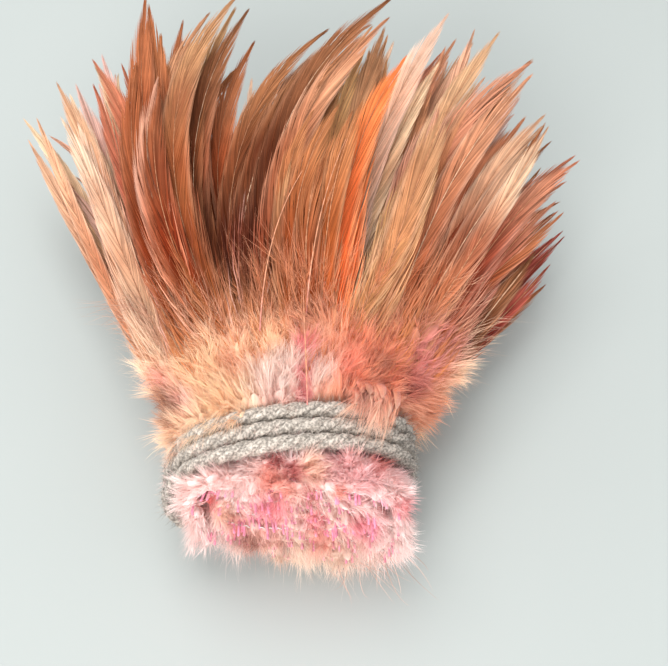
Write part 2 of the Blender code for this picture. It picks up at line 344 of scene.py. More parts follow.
def vane(rng, stem, half_width, spacing, tint):
    """The barbs of both sides. Each one's distance along the shaft grows evenly, while its distance from it
    grows as one less a falling power, up to the vane's outline. Low barbs are loose and lift off."""
    count = int((stem.length + LOOSE_BELOW) / spacing)
    root = np.tile(np.linspace(-LOOSE_BELOW, LAST_ROOT * stem.length, count), 2)
    root = root + rng.normal(0, 0.3 * spacing, 2 * count)
    hand = np.repeat([1.0, -1.0], count)
    share = root / stem.length
    loose = 1 - ease(0, LOOSE_SHARE, share)
    swing = partings(rng, share, hand)
    sweep = half_width * np.interp(share, *SWEEP) * rng.uniform(0.9, 1.1, 2 * count)
    sweep = sweep * (1 - SPLIT_BACK * swing)
    sweep = np.minimum(sweep, (LAST_TIP - share) * stem.length + rng.uniform(0, 2.0, 2 * count))
    outline = half_width * np.interp((root + sweep) / stem.length, *OUTLINE)
    edge = 1 + 0.05 * waves(rng, share, 5) + rng.normal(0, 0.03, 2 * count) + SPLIT_OUT * swing
    outline = outline * edge * (1 + loose * rng.uniform(-0.35, 0.6, 2 * count))
    t = BARB_ROWS[None, :]
    distance = root[:, None] + sweep[:, None] * t
    across = outline[:, None] * (1 - (1 - t) ** BARB_POWER) * hand[:, None]
    middle, side, top, _ = stem.at(distance)
    lift = rng.uniform(*CUP) * half_width * (across / half_width) ** 2
    lift = lift + (SPLIT_LIFT * swing + rng.normal(0, 0.07, 2 * count))[:, None] * t**2
    lift = lift + (loose * rng.normal(*LOOSE_LIFT, 2 * count))[:, None] * t**1.3
    points = middle + side * across[..., None] + top * lift[..., None]
    points[:, :, 2] = np.maximum(points[:, :, 2], FLOOR_GAP)
    way = unit(np.gradient(points, axis=1))
    twist = rng.normal(0, TWIST, 2 * count)[:, None, None]
    flat = unit(np.cross(way, top))
    ribbon_side = flat * np.cos(twist) + top * np.sin(twist)
    wide = BARB_HALF_WIDTHS[None, :] * (spacing / 0.5) ** 0.6 * (1 - 0.45 * loose[:, None])
    tone = 0.5 + 0.08 * waves(rng, share, 4) + rng.normal(0, 0.20, 2 * count)
    tone = np.broadcast_to(tone[:, None], across.shape)
    barb = np.stack([distance / stem.length, np.abs(across) / half_width, tone], -1)
    return ribbons(points, ribbon_side, wide, barb, tint * vane_dyes_and_shade(points), VANE_FINISH)


# A feather's down. Below the vane the barbs are soft and fluffy. They grow in wisps, curl out of the roll
# below the twine as a skirt and above it as a ruff, and have taken the pink and orange dyes unevenly.
GUST_SCALE = 13.0
SWEEP_GUST, BEND_GUST, LENGTH_GUST, SWIRL_GUST, HAIR_GUST = 5, 6, 7, 8, 9
TUFT_GUST_SCALE = 9.0
SWIRL_SCALE = 7.0
TUFT_RINGS = np.array([0.0, 0.25, 0.55, 0.82, 1.0])
TUFT_PROFILE = np.array([0.5, 0.95, 1.0, 0.62, 0.14])
TUFT_CORE = 0.62
TUFT_SIDES = 8
TUFT_FLAT = 0.62
TUFT_FLOOR_GAP = 0.12
# Painted shade deep in the down: tuft cores darker under the hairs, and roots darker than tips.
SKIRT_CORE_SHADE, RUFF_CORE_SHADE = 0.94, 0.85
ROOT_SHADE = (0.98, 0.88, 0.87)
HAIR_HALF_WIDTH = 0.068
LOOSE_COLOUR = (0.74, 0.50, 0.40)
LOOSE_REACH = -10.5
PARTING_X = 4.0
PARTING_WIDTH = 2.5
PARTING_Y, PARTING_Z = (4, 10), (24, 36)
SKIRT_BASE = (0.98, 0.65, 0.63)
RUFF_BASE = (0.99, 0.69, 0.48)
# Painted light: the down's dyes are lifted, the skirt's more than the ruff's, for the light on the skirt's
# front.
SKIRT_PAINTED_LIGHT, RUFF_PAINTED_LIGHT = 1.27, 1.10
# Each dye in the down and where it has soaked in, and the painted shadow in its creases and gaps: x and up of
# a patch's middle, its radius and its strength.
DOWN_DYES = {
    "nearly white pink": ((0.99, 0.74, 0.67), [(-1.5, 37, 5, 22), (8, 39.5, 3, 18)]),
    "blush": ((0.98, 0.60, 0.57), [
        (-24.5, 12.5, 5.5, 6), (-13, 14.5, 4, 6), (-27.5, 0.5, 4.5, 6),
        (-26, -6.5, 4, 6), (-28.5, 31.5, 2.5, 3),
    ]),
    "pink": ((0.96, 0.48, 0.49), [
        (14, 16.5, 3.5, 8), (20.5, 13.5, 3, 8), (29.5, 13.5, 2.5, 3),
        (17, 7.5, 3, 2), (25.5, 4.5, 3, 2), (4, -2.5, 2, 3),
    ]),
    "deep pink": ((0.80, 0.24, 0.27), [
        (3.8, 45, 1.4, 60), (3.8, 38.5, 1.4, 70), (3.8, 33, 1.4, 70), (30, 4.5, 2, 3),
    ]),
    "dusty pink": ((0.67, 0.25, 0.24), [
        (36, 42, 4.5, 11), (42, 48.5, 4.5, 11), (-4.5, -4.5, 3, 2), (-36, 36.5, 3, 2),
    ]),
    "magenta": ((0.73, 0.11, 0.21), [(-4.5, 3, 4, 3), (7, -0.5, 2.7, 4), (19.5, -3, 3.7, 3)]),
    "cream": ((0.90, 0.61, 0.37), [(21, 60, 4, 9), (-24, 41.5, 6.5, 4), (-18, 33, 4, 4), (-6, 49.5, 4.5, 6)]),
    "cream pink": ((0.94, 0.63, 0.48), [(21, 27, 5.5, 20), (4, -13, 14, 3)]),
    "peach": ((0.91, 0.47, 0.31), [
        (30.5, 26, 3.5, 8), (-17.5, 2, 2.5, 3), (6.5, 15, 2.5, 4), (12, 45.5, 3, 10),
    ]),
    "deep peach": ((0.72, 0.29, 0.16), [(-15.5, 41, 2.5, 2.5), (10, 35, 2, 3), (38, 28.5, 3.5, 8)]),
    "salmon": ((0.91, 0.27, 0.18), [
        (15, 41, 2.5, 12), (-5, 12.5, 2.5, 3), (-1, 9.5, 2.5, 3), (14, 9, 1.3, 5),
    ]),
    "orange red": ((0.80, 0.21, 0.085), [(24, 40, 12, 3.2), (17, 36, 2.5, 4)]),
    "rust": ((0.61, 0.15, 0.06), [(19.5, 47.5, 2.5, 3), (26.5, 35.5, 2.5, 3)]),
    # The first brick patch is painted shadow in the gap between the skirt and the twine.
    "brick": ((0.52, 0.12, 0.09), [(24, 16, 1.8, 10), (-14, -3, 2.5, 3), (8.5, -7, 2.5, 6)]),
    "ginger": ((0.54, 0.175, 0.065), [(0, 74, 15, 12), (-12, 63, 7, 10), (42, 57, 7, 8), (27, 69, 13, 12)]),
    "light brown": ((0.44, 0.16, 0.065), [(-31, 69, 12, 12), (-36.5, 53, 2.5, 2)]),
    # Painted shadow: dark wine in the skirt's creases and under the ruff's right side.
    "wine shadow": ((0.35, 0.055, 0.055), [
        (-3, 16.5, 1.2, 20), (1.5, 14, 1.2, 20), (6, 8.5, 1.2, 20), (33.5, 34.5, 2.4, 16),
    ]),
    "red": ((0.52, 0.04, 0.04), [(-21.5, 5.5, 1.3, 25)]),
    "brown": ((0.29, 0.14, 0.10), [(-50, 60, 8, 4), (-3.5, 31, 2, 14)]),
    "dark brown": ((0.20, 0.065, 0.03), [
        (-33.5, 51.5, 3, 8), (-29, 49.5, 2, 12), (24.5, 41, 2, 9),
        (21, 34.5, 1.3, 12), (-10.5, -7, 2, 9), (-35, 29, 3, 14),
    ]),
    "shadow": ((0.08, 0.02, 0.02), [(-1, -9, 1.2, 20)]),
}


def down_colour(rng, points):
    """The dyes' patches and painted shadows: a base that changes from the skirt's to the ruff's across the
    twine, mixed with each patch's colour by its strength times a bell curve of the distance from its middle,
    then lifted, the skirt more than the ruff, which is painted light. A patch soaks through the down along a
    slanting line, so the distance is measured in x and in a mix of y and z."""
    above = ease(-3, 3, points[:, 1] - LEAN * points[:, 0])[:, None]
    total = (1 - above) * np.array(SKIRT_BASE) + above * np.array(RUFF_BASE)
    weight = np.ones((len(points), 1))
    spot = points @ SOAK + rng.normal(0, 0.5, (len(points), 2))
    for colour, patches in DOWN_DYES.values():
        for x, up, radius, strength in patches:
            away = np.sum((spot - (x, up)) ** 2, 1)[:, None]
            share = strength * np.exp(-away / radius**2)
            total = total + share * np.array(colour)
            weight = weight + share
    # painted light, strongest on the skirt
    painted_light = SKIRT_PAINTED_LIGHT + (RUFF_PAINTED_LIGHT - SKIRT_PAINTED_LIGHT) * above
    shade = rng.normal(1, 0.04, (len(points), 1)) * painted_light
    return np.clip(total / weight * shade, 0.01, 0.98)


def gusts(points, scale, number):
    """A smooth field of directions: a sum of sine waves through space, each pushing its own way."""
    rng = np.random.default_rng(number)
    total = np.zeros(points.shape)
    for _ in range(6):
        wave = unit(rng.normal(0, 1, 3)) / scale
        total += np.sin(2 * np.pi * (points @ wave + rng.random()))[..., None] * unit(rng.normal(0, 1, 3))
    return total / 6**0.5


def parabola(t, way, bend):
    """Steps along parabolas: t times the first way, plus half of t squared times the bend."""
    return t * way[:, None] + 0.5 * t**2 * bend[:, None]


def wisps(rng, stem, stretch, count, strands, length, outward, forward, thick):
    """Wisps of down. Each starts on the quill and curves as a parabola from its first direction; its strands
    start close together and fan out a little, like a brush. Neighbours are swept the same way."""
    start = rng.uniform(*stretch, count)
    foot, _, _, along = stem.at(start)
    way = outward * stem.outward + rng.normal(0, 0.30, (count, 3))
    way = unit(way + 0.55 * gusts(foot, GUST_SCALE, SWEEP_GUST) + forward * along)
    bend = rng.normal(0, 0.5, (count, 3)) + 0.7 * gusts(foot, GUST_SCALE, BEND_GUST)
    bend = bend + 0.3 * along * np.sign(forward)
    long = length * rng.uniform(0.6, 1.1, count) * (1 + 0.28 * gusts(foot, GUST_SCALE, LENGTH_GUST)[:, 0])
    each = np.repeat(np.arange(count), strands)
    total = count * strands
    root = start[each] + rng.normal(0, 0.7, total)
    middle, _, _, _ = stem.at(root)
    middle = middle + rng.normal(0, 0.35, (total, 3))
    strand_way = unit(way[each] + rng.normal(0, 0.20, (total, 3)))
    strand_bend = bend[each] + rng.normal(0, 0.30, (total, 3))
    strand_long = long[each] * rng.uniform(0.4, 1.1, total)
    spot = foot + way * long[:, None] * 0.6
    colour = down_colour(rng, spot)[each] * rng.normal(1, 0.05, (total, 1))
    return strands_of(rng, middle, strand_way, strand_bend, strand_long, thick, colour, stem.outward)


def strands_of(rng, start, way, bend, long, thick, colour, facing, rows=3):
    """Tapering strands: parabolas from their starts, with their flat sides turned towards the given way."""
    total = len(start)
    share = np.linspace(0, 1, rows)
    t = share[None, :, None]
    points = start[:, None] + long[:, None, None] * parabola(t, way, bend)
    points[:, :, 2] = np.maximum(points[:, :, 2], FLOOR_GAP + 0.3 * rng.random((total, 1)))
    across = unit(np.cross(way, facing + rng.normal(0, 0.35, (total, 3))))[:, None]
    halves = 0.9 * thick * (1 - share**3)[None, :] * rng.uniform(0.6, 1.3, (total, 1))
    tone = np.broadcast_to(rng.random((total, 1)), (total, rows))
    barb = np.stack([np.broadcast_to(share, tone.shape), np.zeros_like(tone), tone], -1)
    tint = np.broadcast_to(np.clip(colour, 0, 1)[:, None], points.shape)
    return ribbons(points, np.broadcast_to(across, points.shape), halves, barb, tint, DOWN_FINISH)


def parted(points):
    """The one parting in the ruff's top: a push sideways away from it, as a bell curve of the distance."""
    away = points[:, 0] - PARTING_X
    push = np.sign(away) * np.exp(-((away / PARTING_WIDTH) ** 2))
    push = push * ease(*PARTING_Y, points[:, 1]) * ease(*PARTING_Z, points[:, 2])
    return push[:, None] * np.array([1.0, 0, -0.15])


def tufts(rng, stem, starts, long, wide, forward, lean, hairs, hair_long, curl=0.0):
    """Soft tufts of down, like brush heads: spindles carried along parabolas that leave the quill forwards
    and outwards, flatter than they are wide, with fine strands combed along them. The tufts are darker
    towards their roots and their cores darker under the hairs, painted shade deep in the down, and
    neighbouring tufts are swept the same way."""
    count = len(starts)
    foot, _, _, along = stem.at(np.asarray(starts) + rng.normal(0, 0.9, count))
    forward = np.broadcast_to(forward, count)[:, None]
    way = forward * along + np.asarray(lean)[:, None] * stem.outward
    way = way + 0.5 * gusts(foot, GUST_SCALE, SWEEP_GUST) + 0.5 * parted(foot)
    way = unit(way + rng.normal(0, 0.13, (count, 3)))
    bend = 0.45 * gusts(foot, GUST_SCALE, BEND_GUST) + rng.normal(0, 0.15, (count, 3)) + curl * along
    reach = long * rng.uniform(0.75, 1.2, count)
    reach = reach * (1 + 0.28 * gusts(foot, TUFT_GUST_SCALE, LENGTH_GUST)[:, 0])
    side = unit(np.cross(way, stem.outward + rng.normal(0, 0.25, (count, 3))))
    top = np.cross(side, way)
    share, angle = TUFT_RINGS[None, :, None], np.linspace(-0.5, 1.5, TUFT_SIDES + 1)[None, None, :-1] * np.pi
    run = TUFT_CORE * reach[:, None, None] * parabola(share, way, bend)
    half = wide * rng.uniform(0.8, 1.2, (count, 1, 1)) * TUFT_PROFILE[None, :, None]
    phase = rng.uniform(0, 6.3, (count, 1, 1))
    lumps = 0.12 * np.sin(3 * angle + phase + 5 * share) + rng.normal(0, 0.06, (count, 1, TUFT_SIDES))
    half = half * (1 + lumps)
    wheel = side[:, None, None] * np.cos(angle)[..., None]
    wheel = wheel + TUFT_FLAT * top[:, None, None] * np.sin(angle)[..., None]
    rings = (foot[:, None] + run)[:, :, None] + half[..., None] * wheel
    rings[..., 2] = np.maximum(rings[..., 2], TUFT_FLOOR_GAP)
    tone = np.broadcast_to(rng.random((count, 1, 1)), half.shape)
    barb = np.stack([0.4 * share + 0 * half, (angle / np.pi + 0.5) / 2 + 0 * half, tone], -1)
    # Painted shade: darker towards each tuft's root, and its core darker under the hairs.
    root_shade = (1 - share[..., None]) * (1 - np.array(ROOT_SHADE)) + 0 * half[..., None]
    core_shade = np.where(forward < -0.5, SKIRT_CORE_SHADE, RUFF_CORE_SHADE)[..., None, None]
    colour = down_colour(rng, rings.reshape(-1, 3)).reshape(rings.shape) * (core_shade - root_shade)
    heads = skin(rings, barb, np.clip(colour, 0, 1), DOWN_FINISH)

    which = np.repeat(np.arange(count), hairs)
    total = len(which)
    row = rng.integers(1, len(TUFT_RINGS), total)
    face = rng.integers(TUFT_SIDES // 4, TUFT_SIDES - TUFT_SIDES // 4 + 1, total)
    start = rings[which, row, face]
    out = unit(start - (foot[:, None] + run)[which, row])
    swirl = gusts(start, SWIRL_SCALE, SWIRL_GUST) + rng.normal(0, 0.30, (total, 3))
    hair_way = unit(way[which] + share[0, row] * bend[which] + 0.45 * out + 0.30 * swirl)
    hair_bend = 0.35 * swirl + bend[which] + 0.1 * out
    length = hair_long * rng.uniform(0.4, 1.25, total)
    length = length * (1 + 0.25 * gusts(start, TUFT_GUST_SCALE, HAIR_GUST)[:, 0])
    shade = rng.normal(1.02, 0.08, (total, 1))
    # Painted shade at the hairs' roots, deep in the tuft.
    hair_root_shade = 1 - root_shade[which, row, face] * 0.7
    colour = down_colour(rng, start + hair_way) * shade * hair_root_shade
    start = start - 0.3 * out
    return [heads, strands_of(rng, start, hair_way, hair_bend, length, HAIR_HALF_WIDTH, colour, out)]


def loose_hairs(rng, stem, count):
    """Long pale hairs that have worked out of the cut end and trail over the tabletop: parabolas that leave
    it to the right and curl down it."""
    start, _, _, _ = stem.at(np.full(count, stem.walked[0] + QUILL_SPARE))
    start = start + rng.normal(0, 2.0, (count, 3))
    turn = rng.uniform(-0.2, 1.3, count)
    way = unit(np.stack([np.sin(turn), -np.cos(turn) - 0.2, rng.uniform(-0.1, 0.35, count)], -1))
    bend = np.stack([rng.normal(*drift, count) for drift in ((0.2, 0.6), (0.1, 0.5), (-0.6, 0.3))], -1)
    long = np.minimum(rng.uniform(9, 30, count), LOOSE_REACH / np.minimum(way[:, 1] + 0.5 * bend[:, 1], -0.4))
    colour = np.tile(LOOSE_COLOUR, (count, 1)) * rng.uniform(0.75, 1.1, (count, 1))
    return strands_of(rng, start, way, bend, long, 0.1, colour, np.array([0.0, 0.0, 1.0]), 10)


# The feathers' finishes. Each vane is dyed one colour, which is paler at its edges, partly its own colour and
# partly painted light shining through the thin barbs, browner along its shaft, painted shade where the barbs
# lie over each other, and peach where it meets the down. The shaft is horn, with a dull gloss, and the down
# is matt and soft.
DYES = {
    "chestnut": ((0.24, 0.050, 0.013), (0.42, 0.145, 0.058), (0.60, 0.28, 0.155)),
    "umber": ((0.15, 0.043, 0.015), (0.32, 0.125, 0.053), (0.48, 0.23, 0.125)),
    "ginger": ((0.36, 0.087, 0.022), (0.51, 0.20, 0.078), (0.65, 0.335, 0.18)),
    "tan": ((0.40, 0.136, 0.047), (0.54, 0.27, 0.130), (0.67, 0.40, 0.245)),
    "peach": ((0.58, 0.25, 0.140), (0.68, 0.38, 0.24), (0.80, 0.55, 0.40)),
    "blush": ((0.72, 0.36, 0.270), (0.80, 0.51, 0.41), (0.85, 0.64, 0.55)),
    "cream": ((0.72, 0.45, 0.270), (0.80, 0.57, 0.38), (0.85, 0.68, 0.50)),
    "gold": ((0.52, 0.22, 0.090), (0.64, 0.35, 0.17), (0.75, 0.49, 0.29)),
    "orange": ((0.80, 0.155, 0.042), (0.80, 0.25, 0.08), (0.82, 0.42, 0.20)),
    "salmon": ((0.50, 0.17, 0.080), (0.60, 0.27, 0.15), (0.74, 0.43, 0.29)),
    "rose": ((0.35, 0.080, 0.040), (0.52, 0.18, 0.10), (0.70, 0.35, 0.24)),
    "maroon": ((0.30, 0.040, 0.028), (0.46, 0.10, 0.065), (0.62, 0.25, 0.17)),
}
VANE_FOOT = (0.78, 0.28, 0.10)
PALE_BODY = 0.56
SHAFT_HORN, SHAFT_PINK = (0.80, 0.50, 0.32), (0.90, 0.30, 0.42)
DOWN_SHEEN, DOWN_DEEPER, DOWN_TIP = (1.0, 0.56, 0.50), (0.96, 0.85, 0.83), (0.98, 0.82, 0.74)
DOWN_COMB = (1.6, 17.0, 40.0)


class Finish:
    """A material with a Principled shader of even roughness, sheen and gloss. Its methods add nodes, take
    numbers, colours or other nodes' sockets, and give back the socket of the result."""

    def __init__(self, name, roughness, sheen, gloss, sheen_tint=(1.0, 1.0, 1.0)):
        self.material = bpy.data.materials.new(name)
        self.material.use_nodes = True
        self.shader = self.material.node_tree.nodes["Principled BSDF"]
        self.fill(self.shader, {
            "Roughness": roughness, "Sheen Weight": sheen, "Sheen Roughness": 0.4, "Sheen Tint": sheen_tint,
            "Specular IOR Level": gloss,
        })

    def fill(self, node, values):
        """Each named or numbered input of a node is linked to a socket, or set to a number or a colour."""
        for key, value in values.items():
            socket = node.inputs[key]
            if isinstance(value, bpy.types.NodeSocket):
                self.material.node_tree.links.new(value, socket)
            elif socket.type == "RGBA":
                socket.default_value = (*value, 1.0)
            else:
                socket.default_value = value

    def node(self, kind, values):
        """A node of that kind, its inputs filled."""
        made = self.material.node_tree.nodes.new("ShaderNode" + kind)
        self.fill(made, values)
        return made

    def mixed(self, factor, first, second, kind="MIX"):
        """The first colour, with that factor of the second mixed into it."""
        made = self.material.node_tree.nodes.new("ShaderNodeMix")
        made.data_type = "RGBA"
        made.blend_type = kind
        made.clamp_factor = True
        made.clamp_result = True
        self.fill(made, {0: factor, 6: first, 7: second})
        return made.outputs[2]

    def times(self, first, second):
        """The two colours multiplied."""
        return self.mixed(1.0, first, second, "MULTIPLY")

    def ranged(self, value, low, high, new_low, new_high):
        """A value eased from low..high to new_low..new_high, and held at both ends."""
        limits = {"From Min": low, "From Max": high, "To Min": new_low, "To Max": new_high}
        made = self.node("MapRange", {"Value": value, **limits})
        made.interpolation_type = "SMOOTHSTEP"
        return made.outputs["Result"]

    def noise(self, where, scale, detail):
        """Noise in lumps of about one over scale of the given coordinates."""
        return self.node("TexNoise", {"Vector": where, "Scale": scale, "Detail": detail}).outputs["Fac"]

    def mottle(self, scale, detail, low, high, darkest, palest):
        """Noise on the piece's own coordinates in metres, ranged from its low..high to darkest..palest."""
        where = self.node("TexCoord", {}).outputs["Object"]
        return self.ranged(self.noise(where, scale, detail), low, high, darkest, palest)

    def attribute(self, name, output):
        """One output of a point attribute that mesh_piece has stored."""
        made = self.node("Attribute", {})
        made.attribute_name = name
        return made.outputs[output]

    def tint(self):
        """The tint attribute's colour: a feather's own shade with the fan's patches and painted shade, or the
        down's dyes with their painted shadow and painted light.
        """
        return self.attribute("tint", "Color")

    def barb(self):
        """The barb attribute's three numbers: along the vane, across it, and the barb's own tone."""
        parts = self.node("SeparateXYZ", {"Vector": self.attribute("barb", "Vector")})
        return parts.outputs["X"], parts.outputs["Y"], parts.outputs["Z"]


def vane_finish(dye):
    """Foot, body and tip along the vane, edge partly painted glow, painted shade by the shaft, streaks."""
    body, tip, edge = DYES[dye]
    finish = Finish(f"vane_{dye}", 0.52, 0.0, 0.06)
    along, across, tone = finish.barb()
    colour = finish.mixed(finish.ranged(along, 0.42, 0.92, 0, 0.95), body, tip)
    # The paler edge is partly the feather's own and partly painted light shining through the thin barbs.
    colour = finish.mixed(finish.ranged(across, 0.6, 1.0, 0, 0.4), colour, edge)
    # Painted shade along the shaft, where the barbs lie over each other.
    shaft_shade = tuple(0.55 * part for part in body)
    colour = finish.mixed(finish.ranged(across, 0.0, 0.3, 0.25, 0), colour, shaft_shade)
    colour = finish.times(colour, finish.ranged(tone, 0.05, 0.95, 0.62, 1.28))
    foot = VANE_FOOT
    if body[0] >= PALE_BODY:
        foot = tuple(0.4 * low + 0.6 * own for low, own in zip(foot, body))
    foot = finish.times(foot, finish.ranged(tone, 0.05, 0.95, 0.82, 1.12))
    colour = finish.mixed(finish.ranged(along, -0.08, 0.24, 0, 1), foot, colour)
    colour = finish.times(colour, finish.mottle(160, 3, 0.3, 0.7, 0.90, 1.06))
    colour = finish.times(colour, finish.tint())
    finish.fill(finish.shader, {"Base Color": colour, "Roughness": finish.ranged(tone, 0, 1, 0.60, 0.44)})
    return finish.material


def shaft_finish():
    """Pink at the cut quill, then horn in the tint attribute's colour: pale tan or dyed brown."""
    finish = Finish("feather_shaft", 0.5, 0.0, 0.2)
    along, _, _ = finish.barb()
    horn = finish.times(SHAFT_HORN, finish.tint())
    colour = finish.mixed(finish.ranged(along, -0.25, 0.1, 0, 1), SHAFT_PINK, horn)
    colour = finish.times(colour, finish.mottle(700, 2, 0.3, 0.7, 0.62, 1.2))
    finish.fill(finish.shader, {"Base Color": colour})
    return finish.material


def down_finish():
    """The tint attribute's dye patches, painted shadow and painted light, combed into fine streaks that run
    along each tuft and stand up a little, and paler towards each strand's end."""
    finish = Finish("feather_down", 0.85, 1.0, 0.06, DOWN_SHEEN)
    comb = finish.node("Mapping", {"Vector": finish.attribute("barb", "Vector"), "Scale": DOWN_COMB})
    noise = finish.noise(comb.outputs["Vector"], 1.0, 3.0)
    deep = finish.times(finish.tint(), DOWN_DEEPER)
    colour = finish.mixed(finish.ranged(noise, 0.3, 0.7, 0, 1), deep, finish.tint())
    colour = finish.times(colour, finish.mottle(300, 3, 0.25, 0.75, 0.90, 1.10))
    along, _, _ = finish.barb()
    colour = finish.mixed(finish.ranged(along, 0.4, 1.0, 0, 0.12), colour, DOWN_TIP)
    bump = finish.node("Bump", {"Strength": 0.5, "Distance": 0.0004, "Height": noise})
    finish.fill(finish.shader, {"Base Color": colour, "Normal": bump.outputs["Normal"]})
    return finish.material


VANES = {dye: vane_finish(dye) for dye in DYES}
SHAFT, DOWN = shaft_finish(), down_finish()


def mesh_piece(name, parts, finishes):
    """One mesh object of several parts, in metres at the origin, with the barb and tint attributes."""

    def joined(key, shifts):
        return np.concatenate([part[key] + shift for part, shift in zip(parts, shifts)])

    still = np.zeros(len(parts))
    first = np.cumsum([0] + [len(part["vertices"]) for part in parts[:-1]])
    vertices = joined("vertices", still) * MM
    vertices[:, 2] = np.maximum(vertices[:, 2], 0)
    quads, triangles = joined("quads", first), joined("triangles", first)
    corners = np.concatenate([quads.ravel(), triangles.ravel()]).astype(np.int32)
    sizes = np.repeat([4, 3], [len(quads), len(triangles)])
    starts = (np.cumsum(sizes) - sizes).astype(np.int32)
    faces = [len(part[key]) for key in ("quads", "triangles") for part in parts]
    finish = np.repeat([part["finish"] for part in parts] * 2, faces).astype(np.int32)
    mesh = bpy.data.meshes.new(name)
    mesh.vertices.add(len(vertices))
    mesh.vertices.foreach_set("co", vertices.astype(np.float32).ravel())
    mesh.loops.add(len(corners))
    mesh.loops.foreach_set("vertex_index", corners)
    mesh.polygons.add(len(sizes))
    mesh.polygons.foreach_set("loop_start", starts)
    mesh.polygons.foreach_set("material_index", finish)
    mesh.polygons.foreach_set("use_smooth", np.ones(len(sizes), bool))
    barb = joined("barb", still).astype(np.float32)
    tint = np.pad(joined("tint", still), ((0, 0), (0, 1)), constant_values=1).astype(np.float32)
    mesh.attributes.new("barb", "FLOAT_VECTOR", "POINT").data.foreach_set("vector", barb.ravel())
    mesh.attributes.new("tint", "FLOAT_COLOR", "POINT").data.foreach_set("color", tint.ravel())
    for made in finishes:
        mesh.materials.append(made)
    mesh.update(calc_edges=True)
    mesh.validate()
    obj = bpy.data.objects.new(name, mesh)
    bpy.context.scene.collection.objects.link(obj)
    return obj


# The fifty feathers that show best, in their order along the string: where each tip lies, the way it points
# seen from above in degrees from +Y, half of its vane's width, its vane's roll and its dye.
FEATHERS = [
    (-44, 116, 1.6, -22, 3.9, 0, "chestnut"),
    (6, 118, 1.6, 4, 4.1, 0, "ginger"),
    (30, 116, 1.6, 18, 4.1, 0, "tan"),
    (50, 100, 1.6, 30, 4.1, 0, "rose"),
    (61, 77, 5, 38, 3.6, -6, "rose"),
    (72, 80, 12, 42, 3.7, -16, "maroon"),
    (82, 84, 20, 44, 2.9, -10, "maroon"),
    (78, 84, 29, 46, 3.4, 10, "umber"),
    (84, 92, 44, 52, 3.6, 24, "rose"),
    (74, 103, 52, 42, 3.7, 22, "peach"),
    (70, 118, 60, 44, 5.2, 18, "salmon"),
    (44, 93, 66, 20, 4.1, 14, "gold"),
    (32, 113, 66, 30, 3.9, 10, "orange"),
    (12, 90, 69, 30, 3.7, 8, "ginger"),
    (27, 139, 66, 46, 4.6, 8, "umber"),
    (-20, 143, 64, 34, 4.4, -8, "tan"),
    (-48, 145, 60, 0, 4.6, -12, "chestnut"),
    (-62, 126, 52, -30, 3.7, -18, "rose"),
    (-75, 125, 43, -26, 3.7, -24, "peach"),
    (-88, 125, 27, -36, 2.7, -24, "cream"),
    (-66, 106, 22, -40, 3.6, -14, "tan"),
    (-64, 112, 13, -40, 3.7, -8, "blush"),
    (-57, 122, 9, -26, 3.9, 0, "ginger"),
    (-46, 136, 13, -18, 3.9, 0, "tan"),
    (-29, 116, 7, -8, 3.9, 0, "chestnut"),
    (1, 120, 8, 4, 3.9, 0, "ginger"),
    (18, 134, 10, 12, 4.1, 0, "tan"),
    (44, 121, 11, 28, 3.9, 0, "salmon"),
    (66, 86, 21, 46, 3.6, -8, "maroon"),
    (80, 90, 36, 54, 3.4, 18, "chestnut"),
    (68, 114, 48, 34, 3.9, 18, "blush"),
    (62, 134, 56, 32, 3.9, 14, "peach"),
    (46, 138, 60, 30, 4.1, 10, "cream"),
    (27, 136, 56, 16, 4.1, 8, "tan"),
    (20, 134, 60, 56, 4.4, 4, "peach"),
    (-17, 142, 58, 26, 4.4, -6, "umber"),
    (-37, 142, 53, 6, 3.9, -10, "chestnut"),
    (-62, 136, 44, -18, 3.9, -14, "blush"),
    (-71, 131, 36, -21, 3.7, -18, "blush"),
    (-60, 132, 25, -24, 3.7, -10, "cream"),
    (-50, 140, 22, -14, 3.9, 0, "ginger"),
    (-16, 143, 27, 2, 3.9, 0, "cream"),
    (11, 134, 25, 10, 3.9, 0, "ginger"),
    (40, 132, 27, 26, 3.9, 0, "peach"),
    (77, 103, 40, 44, 3.4, 10, "umber"),
    (55, 140, 46, 30, 3.9, 8, "peach"),
    (49, 136, 51, 28, 3.7, 6, "salmon"),
    (30, 139, 47, 18, 4.1, 4, "cream"),
    (-15, 136, 50, 22, 4.2, -4, "chestnut"),
    (-44, 141, 48, -6, 4.1, -6, "tan"),
]
BARB_SPACING = 0.55
OUTER_TURN = 28
TRAILING = (4, 5, 6)
PALE_HORN_SHARE = 0.2
BROWN_HORN = np.array([0.66, 0.46, 0.36])
SKIRT_STARTS = np.array([4.0, 7.5, 11.0, 14.0, 16.5])
SKIRT_LEANS = np.array([0.25, 0.6, 1.2, 1.9, 2.1])
SKIRT_FORWARD = [-1, -1, -1, -1, -0.7]
RUFF_STARTS = [-18.0, -14.5, -11.0, -7.0, -2.5, 3.0]
RUFF_LEANS = [1.3, 1.1, 0.9, 0.6, 0.45, 0.35]
RUFF_FORWARD = [0.35, 0.8, 1, 1, 1, 1]
RUFF_Y = -17.0


